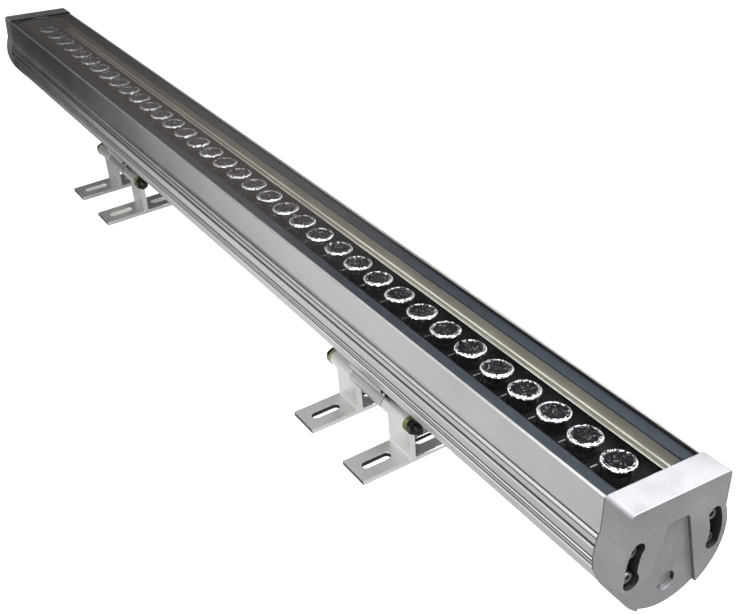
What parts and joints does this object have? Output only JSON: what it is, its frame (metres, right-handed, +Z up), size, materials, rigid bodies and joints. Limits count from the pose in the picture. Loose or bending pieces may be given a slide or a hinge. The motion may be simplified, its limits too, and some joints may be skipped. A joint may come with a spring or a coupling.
{
  "type": "outdoor wall washer light",
  "caption": "Long D-section aluminium wall washer lamp with a lens row under glass, tilting on two hinged brackets with slotted T-shaped feet.",
  "frame": {"origin": "centre of the object's footprint box, on the surface that the feet stand on", "axes": "+X along the lamp towards the near end cap, +Z up, +Y to the side that the rest tilt turns the glass towards"},
  "size_m": [1, 0.0928, 0.1235],
  "materials": {
    "extruded_aluminium": "satin anodised, fine lines along the extrusion",
    "cast_aluminium": "die casting with a fine silver powder coat",
    "bracket_aluminium": "bright satin, fine lines along the lamp",
    "clear_glass": "clear toughened glass, polished",
    "slate_rubber": "matte slate grey rubber strip",
    "black_sealant": "smooth black silicone",
    "black_rubber": "matte black rubber",
    "dark_steel": "dark oiled steel",
    "zinc_steel": "yellow zinc plating",
    "black_board": "aluminium board with semi gloss black solder mask",
    "grey_pad": "soft grey silicone pad",
    "yellow_emitter": "yellow phosphor under a clear dome",
    "black_plastic": "matte black moulding",
    "clear_acrylic": "clear moulded acrylic, polished",
    "white_case": "off white moulded case",
    "red_insulation": "red wire insulation"
  },
  "bodies": {
    "feet": {"near_outer_foot": "bracket_aluminium", "near_inner_foot": "bracket_aluminium", "far_inner_foot": "bracket_aluminium", "far_outer_foot": "bracket_aluminium", "near_hinge_bolt": "dark_steel", "far_hinge_bolt": "dark_steel", "near_hinge_nut": "dark_steel", "far_hinge_nut": "dark_steel", "near_hinge_washers": "zinc_steel", "far_hinge_washers": "zinc_steel"},
    "lamp": {"housing": "extruded_aluminium", "cover_glass": "clear_glass", "glass_gasket_strips": "slate_rubber", "glass_sealant": "black_sealant", "near_end_cap": "cast_aluminium", "far_end_cap": "cast_aluminium", "near_end_gasket": "black_rubber", "far_end_gasket": "black_rubber", "near_cap_screws": "dark_steel", "far_cap_screws": "dark_steel", "cable_inlet": "black_rubber", "led_board": "black_board", "thermal_pad": "grey_pad", "led_emitters": "yellow_emitter", "lens_holders": "black_plastic", "lenses": "clear_acrylic", "driver_plate": "extruded_aluminium", "led_driver": "white_case", "driver_screws": "zinc_steel", "board_leads": "red_insulation", "lead_grommet": "black_rubber", "near_clamp": "extruded_aluminium", "far_clamp": "extruded_aluminium", "near_clamp_screws": "zinc_steel", "far_clamp_screws": "zinc_steel", "near_clamp_nuts": "zinc_steel", "far_clamp_nuts": "zinc_steel"}
  },
  "joints": [
    {"name": "lamp_tilt", "type": "hinge", "parent": "feet", "child": "lamp", "pos_m": [0, -0.00751, 0.035], "axis": [1, 0, 0], "range_deg": [-60, 90]}
  ]
}
